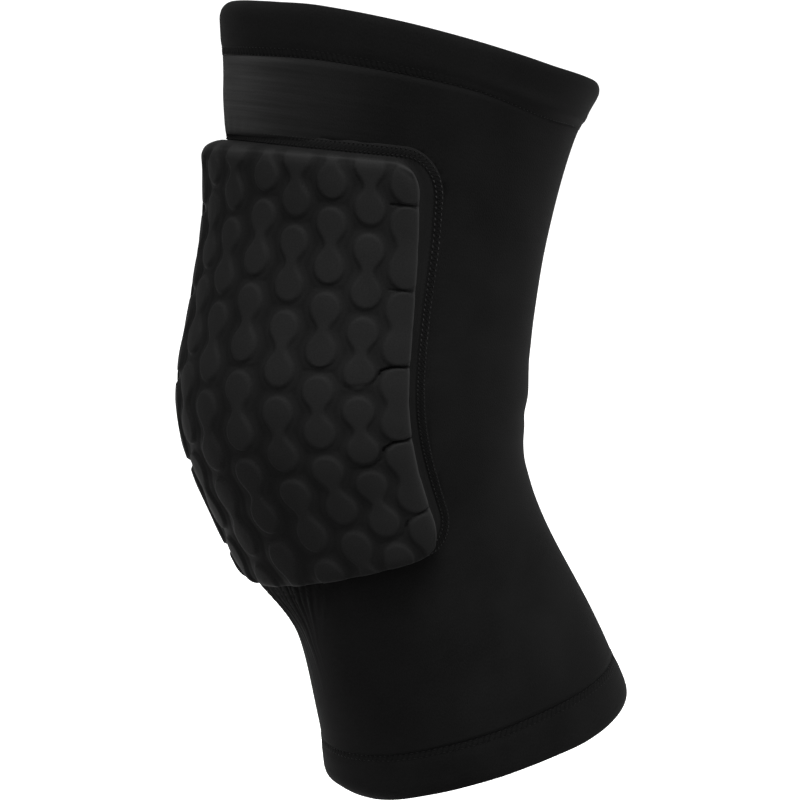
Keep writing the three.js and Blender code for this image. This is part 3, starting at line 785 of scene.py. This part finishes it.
def pad_face(step):
    across = pad_lines(-PAD["half"], PAD["half"], step)
    upward = pad_lines(-PAD["low"], PAD["high"], step, FOLD_LINES)
    y, x = np.meshgrid(upward, across, indexing="ij")
    j, i = np.meshgrid(np.arange(len(upward)), np.arange(len(across)), indexing="ij")
    ring = np.minimum(np.minimum(i, len(across) - 1 - i), np.minimum(j, len(upward) - 1 - j))
    x, y = round_corners(x, y, PAD)
    inner = np.clip((ring - len(RINGS) + 1) / 4.0, 0, 1)
    k = np.minimum(ring, len(RINGS) - 1)
    lip = (LIP + 1.7 * np.exp(-(x / 42) ** 2)) * RINGS[k, 2] * np.clip((-y - 20) / 40, 0, 1) ** 2
    y = bowed(PAD, x, y)
    depth = -edge_distance(PAD, x, y)
    bevel = np.interp(RINGS[k, 1], BEVEL[:, 0], BEVEL[:, 1]) * np.exp(-((ring - k) / 6.0) ** 2)
    lip = lip + bevel * np.exp(-(x / 42) ** 2) * np.clip((y - 60) / 30, 0, 1)
    edge_drop = 0.85 * np.exp(-np.maximum(depth - 2.0, 0) / 1.1)
    cell = cell_depth(x, y)
    face = face_height(cell) - edge_drop
    rim = np.clip((RINGS[k, 1] - RIM_FOOT) / (RIM_TOP - RIM_FOOT), 0, 1) ** 2
    share = np.where(ring < len(RINGS), rim, 1)
    side = RINGS[k, 1] + share * (face - RIM_TOP) * np.clip(inner + share, 0, 1)
    height = np.where(ring < len(RINGS), side, face)
    height = height - side_folds(x, y) * np.clip((height - 1.5) / 6, 0, 1)
    return x, y - lip, height, ring, cell


pad_x, pad_y, pad_height, ring, cell = pad_face(0.70)
print("the pad's face is a grid of", pad_x.shape, "points")
print("its cells stand up to", round(float(pad_height.max()), 2), "mm over the knit")

# %% [markdown]
# Pad cloth is smoother and a little lighter than the knit. Shade is painted into its colour:
# darker in the valleys between the cells, on the low side, the margin and the back, so a share
# for each point goes along as a mark. A second mark paints a highlight along the pad's rim,
# brighter at the sides.

# %% The pad's cloth
def pad_finish():
    finish, nodes, links, cloth = new_finish("pad_cloth")
    lengths = nodes.new("ShaderNodeUVMap")
    lengths.uv_map = "lengths"
    place = lengths.outputs["UV"]
    cloud = noise(nodes, links, place, 45, 3.0)
    loops = noise(nodes, links, place, 1700, 2.0)
    grain = noise(nodes, links, place, 420, 2.0, (1.0, 0.8, 1))
    grainy = math_node(nodes, links, "SUBTRACT", weighed(nodes, links, cloud, 0.6, loops, 1.2), 0.4)
    shade = mix_colour(nodes, links, grainy, grey(0.0084), grey(0.0178))
    # painted shade: the valleys, the margin and the back take this darker colour
    deep = mix_colour(nodes, links, grainy, grey(0.0056), grey(0.0114))
    plain = mix_colour(nodes, links, mark_value(nodes, "unshaded_share"), deep, shade)
    # painted highlight: the rim takes this pale colour
    coloured = mix_colour(nodes, links, mark_value(nodes, "painted_rim_highlight"), plain, grey(0.030))
    links.new(coloured, cloth.inputs["Base Color"])
    roughen(nodes, links, cloth, weighed(nodes, links, loops, 0.6, grain, 0.6), 0.3, 0.0003)
    links.new(math_node(nodes, links, "ADD", math_node(nodes, links, "MULTIPLY", cloud, 0.1), 0.5),
              cloth.inputs["Roughness"])
    cloth.inputs["Specular IOR Level"].default_value = 0.01
    cloth.inputs["Sheen Weight"].default_value = 0.002
    cloth.inputs["Sheen Roughness"].default_value = 0.4
    return finish


pad_cloth = pad_finish()
print("made", pad_cloth.name)

# %% [markdown]
# Under the foam the panel's thin cloth runs on to the seam. Two rings outside the foam make that
# flat margin, and a third goes round its underside. From there wide rings close the pad's back,
# where it lies on the knee, and meet in a small face at the middle.

# %% The thin margin round the foam
def ring_points(x, y):
    """The border of a grid, once round, as indices."""
    rows, columns = x.shape
    index = np.arange(rows * columns).reshape(rows, columns)
    return np.concatenate([index[0, :-1], index[:-1, -1], index[-1, :0:-1], index[:0:-1, 0]])


face_points = flat_point(pad_x, pad_y, pad_height).reshape(-1, 3)
border = ring_points(pad_x, pad_y)
margin_x = pad_x.ravel()[border]
margin_y = pad_y.ravel()[border]


def onto_panel(x, y, inset):
    """Move points outwards until they lie on the panel's outline."""
    for _ in range(12):
        off = edge_distance(PANEL, x, y) + inset
        slope_x, slope_y = outline_slope(x, y)
        x, y = x - off * slope_x, y - off * slope_y
    return x, y


edge_x, edge_y = onto_panel(margin_x, margin_y, SEAM_GAP)
half_x, half_y = (edge_x + margin_x) / 2, (edge_y + margin_y) / 2
loops = [flat_point(half_x, half_y, 0.06), flat_point(edge_x, edge_y, 0.0),
         flat_point(edge_x, edge_y, -WALL)]
count, around = len(face_points), len(border)
faces = [tuple(f) for f in grid_faces(*pad_x.shape)]
for k in range(3):
    inner = border if k == 0 else count + (k - 1) * around + np.arange(around)
    outer = count + k * around + np.arange(around)
    faces += [(outer[n], outer[(n + 1) % around], inner[(n + 1) % around], inner[n]) for n in range(around)]
print("the margin has", 3 * around, "points in three rings")

# %% The pad's back, its marks and the closed piece
sparse = np.arange(0, around, 5)
shares = np.concatenate([[0.985], np.linspace(0.93, 0.03, 15)])
centre_y = (PANEL["high"] - PANEL["low"]) / 2
back_x = shares[:, None] * edge_x[sparse]
back_y = centre_y + shares[:, None] * (edge_y[sparse] - centre_y)
back = flat_point(back_x, back_y, -WALL).reshape(-1, 3)
last_ring, back_first, many = count + 2 * around, count + 3 * around, len(sparse)
for n in range(many):
    upto = sparse[n + 1] if n + 1 < many else around
    step_round = [last_ring + k % around for k in range(sparse[n], upto + 1)]
    faces.append(tuple([back_first + n, back_first + (n + 1) % many] + step_round[::-1]))
faces += [tuple(f) for f in grid_faces(*back_x.shape, closed=True, first=back_first)[:, ::-1]]
faces.append(tuple(range(back_first + len(back) - many, back_first + len(back)))[::-1])
lengths = np.concatenate([np.stack([pad_x.ravel(), pad_y.ravel()], -1), np.stack([half_x, half_y], -1),
                          *([np.stack([edge_x, edge_y], -1)] * 2),
                          np.stack([back_x.ravel(), back_y.ravel()], -1)])
# painted shade: darker in the valleys and deeper pockets between the cells, on the pad's low side, on the
# margin and on the back
valley = np.clip((-cell.ravel() - 1.6) / 1.2, 0, 1)
unshaded_share = 0.35 + 0.65 / (1 + np.exp(-(cell.ravel() + 0.1) / 0.16)) - 0.35 * valley
unshaded_share *= np.clip((pad_height.ravel() - 4) / 4, 0.2, 1)
unshaded_share = np.concatenate([unshaded_share, np.zeros(3 * around), np.full(len(back), 0.4)])
# painted highlight: a pale line along the foam's rounded rim, stronger at the sides
rim_light = np.exp(-((ring.ravel() - 7.2) / 0.9) ** 2) * np.clip(pad_height.ravel() - 7, 0, 1)
at_side = np.clip((np.abs(pad_x.ravel()) - 92) / 6, 0, 1)
painted_rim_highlight = np.concatenate([(0.3 + 0.6 * at_side) * rim_light, np.zeros(3 * around + len(back))])
pad = make_piece("moulded_pad", np.concatenate([face_points, *loops, back]), faces, pad_cloth, lengths,
                 {"unshaded_share": unshaded_share, "painted_rim_highlight": painted_rim_highlight})
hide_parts("knee_pad")

# %% [markdown]
# ## Seam and stitches
# A flat seam joins two cloths edge to edge: two rows of needle stitches with a looping thread
# that zig-zags between them. At this size a stitch is a short arched tube. Many small tubes are
# cheap when they share one mesh, so one helper makes a whole row. A painted highlight lightens
# the thread in spots, more higher up the seam. The cloth between the threads is dull, with a
# painted highlight on its upper front run, and the needle holes of the hems get painted shade,
# darker still.

# %% The finishes of thread, seam cloth and needle holes
def thread_finish(name, bright):
    finish, nodes, links, cloth = new_finish(name)
    place = nodes.new("ShaderNodeTexCoord").outputs["Object"]
    twist = noise(nodes, links, place, 2500, 2.0)
    spots = noise(nodes, links, place, 150, 2.0)
    # painted highlight: spots of the thread are made lighter where the mark allows
    glint_spots = math_node(nodes, links, "MULTIPLY", spots, mark_value(nodes, "painted_glint"))
    steep = nodes.new("ShaderNodeMapRange")
    steep.inputs["From Min"].default_value, steep.inputs["From Max"].default_value = 0.28, 0.52
    links.new(glint_spots, steep.inputs["Value"])
    links.new(mix_colour(nodes, links, steep.outputs["Result"], grey(bright * 0.35), grey(bright)),
              cloth.inputs["Base Color"])
    roughen(nodes, links, cloth, twist, 0.4, 0.0001)
    cloth.inputs["Roughness"].default_value = 0.5
    cloth.inputs["Specular IOR Level"].default_value = 0.08
    return finish


thread, dull_thread = thread_finish("seam_thread", 0.016), thread_finish("hem_thread", 0.009)


def seam_cloth_finish(name, dark, pale):
    finish, nodes, links, cloth = new_finish(name)
    place = nodes.new("ShaderNodeTexCoord").outputs["Object"]
    plain = mix_colour(nodes, links, noise(nodes, links, place, 900, 2.0), grey(dark), grey(pale))
    # painted highlight: a lighter colour where the mark says so, on the seam's upper front run
    coloured = mix_colour(nodes, links, mark_value(nodes, "painted_sheen"), plain, grey(0.020))
    links.new(coloured, cloth.inputs["Base Color"])
    cloth.inputs["Roughness"].default_value = 0.85
    cloth.inputs["Specular IOR Level"].default_value = 0.03
    return finish


seam_cloth = seam_cloth_finish("seam_cloth", 0.0040, 0.0070)
# painted shade: near-black tubes stand for the shade in the hems' needle holes
hole_dark = seam_cloth_finish("needle_hole_shade", 0.0010, 0.0030)
print("made", thread.name, "and", dull_thread.name)

# %% A helper for many stitches
def tubes(lines, radius, sides=5):
    """Tubes along many short lines of the same number of points, as one set of points and faces."""
    lines = np.asarray(lines)
    number, length = lines.shape[:2]
    tangent = np.gradient(lines, axis=1)
    tangent /= np.linalg.norm(tangent, axis=-1, keepdims=True)
    centre = lines.mean(axis=(0, 1))
    helper = lines - centre
    across = np.cross(tangent, helper)
    across /= np.linalg.norm(across, axis=-1, keepdims=True)
    upward = np.cross(across, tangent)
    taper = np.full(length, radius)
    taper[[0, -1]] = radius * 0.45
    angles = np.arange(sides) * 2 * np.pi / sides
    offset = across[:, :, None] * np.cos(angles)[:, None] + upward[:, :, None] * np.sin(angles)[:, None]
    points = lines[:, :, None] + offset * taper[:, None, None]
    faces = []
    one = grid_faces(length, sides, closed=True)
    caps = [tuple(range(sides))[::-1], tuple(range((length - 1) * sides, length * sides))]
    for k in range(number):
        first = k * length * sides
        faces += [tuple(f) for f in one + first]
        faces += [tuple(c + first for c in cap) for cap in caps]
    return points.reshape(-1, 3), faces


def join(parts):
    points, faces, first = [], [], 0
    for some, theirs in parts:
        points.append(some)
        faces += [tuple(c + first for c in f) for f in theirs]
        first += len(some)
    return np.concatenate(points), faces


print("one stitch has", len(tubes([[(1, 0, 0), (1, 1, 0), (1, 2, 0.1)]], 0.1)[1]), "faces")

# %% [markdown]
# The seam's own body is a low band, rounded on top. The threads lie on it: dashes for the two
# needle rows, and a zig-zag from row to row.

# %% The pad's seam
SEAM_LENGTH = 772
SEAM_SIDE = [
    # place across the band, height over the cloth, from its edge to near its middle
    (-2.3, 0.04), (-2.1, 0.12), (-1.75, 0.2), (-1.35, 0.24), (-0.7, 0.30),
]


def seam_band():
    profile = SEAM_SIDE + [(0, 0.24)] + [(-across, height) for across, height in SEAM_SIDE[::-1]]
    rings = []
    for grow, height in profile:
        line = outline_points(PANEL, grow, 1.6)
        rings.append(line[np.round(np.linspace(0, len(line), 470, endpoint=False)).astype(int)])
    heights = np.array([h for _, h in profile])[:, None]
    rings = np.array(rings)
    return flat_point(rings[..., 0], rings[..., 1], heights), rings


band, rings = seam_band()
band_faces = grid_faces(band.shape[0], band.shape[1], closed=True)[:, ::-1]


def along_outline(grow, places):
    """Flat points at places, as shares of the way round the outline."""
    line = outline_points(PANEL, grow, 0.5)
    line = np.concatenate([line, line[:1]])
    at = (np.asarray(places) % 1) * (len(line) - 1)
    k = at.astype(int)
    t = (at - k)[..., None]
    return line[k] * (1 - t) + line[np.minimum(k + 1, len(line) - 1)] * t


def seam_stitches(pitch=2.1):
    number = round(SEAM_LENGTH / pitch)
    start = np.arange(number) / number
    parts = []
    for grow in (-1.45, 1.45):
        share = np.linspace(0.22, 0.68, 5) / number
        flat = along_outline(grow, start[:, None] + share)
        arch = 0.20 + 0.22 * np.sin(np.linspace(0, np.pi, 5))
        parts.append(tubes(flat_point(flat[..., 0], flat[..., 1], arch), 0.27))
    inner = along_outline(-1.35, start)
    outer = along_outline(1.35, start + 0.5 / number)
    following = along_outline(-1.35, start + 1.0 / number)
    mix = np.linspace(0, 1, 4)[None, :, None]
    for a, b in ((inner, outer), (outer, following)):
        flat = a[:, None] * (1 - mix) + b[:, None] * mix
        arch = 0.27 + 0.1 * np.sin(np.linspace(0, np.pi, 4))
        parts.append(tubes(flat_point(flat[..., 0], flat[..., 1], arch), 0.11, 4))
    return join(parts[:2]), join(parts[2:])


def front_share(points):
    """How far a point of the seam lies on its upper run, in front."""
    points = np.asarray(points)
    return np.clip((points[:, 2] - 84) / 6, 0, 1) * np.exp(-(points[:, 0] / 58) ** 4)


needle_rows, zigzag = seam_stitches()
points, faces = join([(band.reshape(-1, 3), [tuple(f) for f in band_faces]), zigzag, needle_rows])
# painted highlight: the thread is lighter higher up the seam and less on its upper front run, where the
# seam cloth is lightened instead
in_front = front_share(points)
painted_glint = np.clip((points[:, 2] + 30) / 70, 0.15, 1) * (1 - in_front)
painted_glint *= np.clip(1 - (points[:, 2] - 88) / 4, 0.1, 1)
seam = make_piece("flat_seam", points, faces, seam_cloth,
                  marks={"painted_sheen": 0.8 * in_front, "painted_glint": painted_glint})
seam.data.materials.append(thread)
sewn = np.zeros(len(faces), dtype=np.int32)
sewn[-len(needle_rows[1]):] = 1
seam.data.polygons.foreach_set("material_index", sewn)
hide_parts("pad_seam")

# %% [markdown]
# The hems are sewn with two rows three millimetres apart. Seen from outside they are plain
# dashes that sit a little deep in the cloth, with a needle hole at each end. Between the rows
# a thinner thread slants from one row to the other.

# %% Stitch rows of the hems
THIGH_ROWS, SHIN_ROWS = (117.08, 119.35), (-127.08, -129.35)
# a dash and a needle hole, each from one share of the pitch to another, with its arch and radius
DASH, HOLE = (0.16, 0.70, 0.12, 0.16), (0.74, 1.06, -0.06, 0.19)


def hem_stitches(name, places, pitch, end):
    table = THIGH_LINE if end > 0 else SHIN_LINE
    around = np.linspace(0, 2 * np.pi, 721)
    dashes, holes, legs = [], [], []
    for number, place in enumerate(places):
        line = knit_point(place + sewn_line(table, around), around)
        far = np.concatenate([[0], np.cumsum(np.linalg.norm(np.diff(line, axis=0), axis=1))])
        count = round(far[-1] / pitch)
        start = (np.arange(count)[:, None] + 0.5 * number) * far[-1] / count
        base = 0.05 * number

        def turn_at(shares):
            """The turns of four points on every stitch, at shares of the pitch."""
            turn = np.interp((start + shares[None] * far[-1] / count) % far[-1], far, around)
            return np.where(turn < turn[:, :1] - 1, turn + 2 * np.pi, turn)

        for parts, (low, high, rise, radius) in ((dashes, DASH), (holes, HOLE)):
            turn = turn_at(np.linspace(low, high, 4))
            arch = base + rise * np.sin(np.linspace(0, np.pi, 4))
            parts.append(tubes(limb_point(place + sewn_line(table, turn), turn, arch), radius, 4))
        if number:
            turn = turn_at(np.array([-0.04, 0.16, 0.36, 0.56]))
            across = places[0] + (place - places[0]) * np.array([0.95, 0.65, 0.35, 0.05])
            legs.append(tubes(limb_point(across + sewn_line(table, turn), turn, 0.10), 0.10, 4))
    # painted shade: the needle holes take the near-black colour, and the slanting thread shares it
    light, dark = join(dashes), join(holes + legs)
    points, faces = join([light, dark])
    piece = make_piece(name, points, faces, dull_thread)
    piece.data.materials.append(hole_dark)
    kind = np.zeros(len(faces), dtype=np.int32)
    kind[len(light[1]):] = 1
    piece.data.polygons.foreach_set("material_index", kind)
    return piece


thigh_stitches = hem_stitches("thigh_hem_stitches", THIGH_ROWS, 2.1, 1)
shin_stitches = hem_stitches("shin_hem_stitches", SHIN_ROWS, 2.3, -1)

# %% [markdown]
# ## What the cloth is
# Knit sheets are stretched over the form; the hems are folded sheets, and the foam pad is
# moulded nearly tight. Here the tube's cloth area on the form is worked out from its girth
# along its length, less most of the pad's window.

def cloth_area(low, high):
    rows = np.linspace(low, high, 60)
    around = [np.linalg.norm(np.diff(knit_point(a, np.linspace(0, 2 * np.pi, 181)), axis=0), axis=1).sum()
              for a in rows]
    return float(np.mean(around) * (high - low)) / 1e6


window = 0.217 * 0.168
tube_area = cloth_area(LOW_JOIN, HIGH_JOIN) - 0.9 * window
print("the tube's cloth on the form covers", round(tube_area, 4), "square metres")

# %% [markdown]
# ## Floor, light and camera
# A black thing on white needs large soft lights. One stands in front of the knee, which is at
# the left of the picture, one behind and one overhead, and the white surroundings do the rest.

# %% The studio
floor_mesh = bpy.data.meshes.new("studio_floor")
floor_corners = [(-4, -4, -0.27), (4, -4, -0.27), (4, 4, -0.27), (-4, 4, -0.27)]
floor_mesh.from_pydata(floor_corners, [], [(0, 1, 2, 3)])
floor_finish, floor_nodes, floor_links, floor_paint = new_finish("pale_floor")
floor_paint.inputs["Base Color"].default_value = (0.92, 0.92, 0.92, 1)
floor_paint.inputs["Roughness"].default_value = 0.9
floor_paint.inputs["Specular IOR Level"].default_value = 0.0
floor_paint.inputs["Emission Color"].default_value = (1, 1, 1, 1)
floor_paint.inputs["Emission Strength"].default_value = 0.6
floor_mesh.materials.append(floor_finish)
floor = bpy.data.objects.new("studio_floor", floor_mesh)
bpy.context.collection.objects.link(floor)
floor.visible_diffuse = False

world = bpy.data.worlds.new("white_room")
bpy.context.scene.world = world
world.use_nodes = True
nodes, links = world.node_tree.nodes, world.node_tree.links
sky = nodes["Background"]
sky.inputs["Color"].default_value = (1, 1, 1, 1)
upward = nodes.new("ShaderNodeVectorMath")
upward.operation = "DOT_PRODUCT"
upward.inputs[1].default_value = (0.35, 0.15, 0.92)
links.new(nodes.new("ShaderNodeTexCoord").outputs["Generated"], upward.inputs[0])
spread = nodes.new("ShaderNodeMapRange")
spread.inputs["From Min"].default_value, spread.inputs["From Max"].default_value = -0.8, 0.8
spread.inputs["To Min"].default_value, spread.inputs["To Max"].default_value = 0.17, 0.88
links.new(upward.outputs["Value"], spread.inputs["Value"])
seen = nodes.new("ShaderNodeMix")
links.new(nodes.new("ShaderNodeLightPath").outputs["Is Camera Ray"], seen.inputs["Factor"])
links.new(spread.outputs["Result"], seen.inputs["A"])
seen.inputs["B"].default_value = 1.2
links.new(seen.outputs["Result"], sky.inputs["Strength"])


def look_along(direction):
    """The turn that points a camera's or a light's view along a direction."""
    return Vector(direction).to_track_quat("-Z", "Y").to_euler()


def soft_light(name, place, size, power, target=(0, 0.015, 0)):
    data = bpy.data.lights.new(name, "AREA")
    data.shape = "RECTANGLE"
    data.size, data.size_y = size
    data.energy = power
    light = bpy.data.objects.new(name, data)
    light.location = place
    light.rotation_euler = look_along(np.array(target) - np.array(place))
    bpy.context.collection.objects.link(light)
    return light


soft_light("light_in_front", (-0.15, -1.5, 0.5), (0.5, 1.2), 0.6)
soft_light("light_overhead", (0.9, -0.15, 1.6), (1.0, 1.0), 40)
soft_light("light_behind", (0.5, 1.5, 0.1), (0.5, 1.2), 6)
print("three lights in a white room")

# %% [markdown]
# The photograph looks at the knee from the wearer's left and a little from above. A long lens
# from just over a metre away gives its flat perspective.

# %% The camera
AZIMUTH, ELEVATION, DISTANCE = math.radians(67), math.radians(7), 1.150
TARGET = np.array([0.0, 0.015, -0.002])
view_from = np.array([math.sin(AZIMUTH) * math.cos(ELEVATION), -math.cos(AZIMUTH) * math.cos(ELEVATION),
                      math.sin(ELEVATION)])
camera_data = bpy.data.cameras.new("photo_camera")
camera_data.lens, camera_data.sensor_width = 134.55, 36
camera_data.clip_start, camera_data.clip_end = 0.05, 20
camera = bpy.data.objects.new("photo_camera", camera_data)
camera.location = TARGET + DISTANCE * view_from
camera.rotation_euler = look_along(-view_from)
bpy.context.collection.objects.link(camera)
bpy.context.scene.camera = camera
bpy.context.scene.view_settings.view_transform = "Standard"
print("the camera stands at", [round(float(v), 3) for v in camera.location])
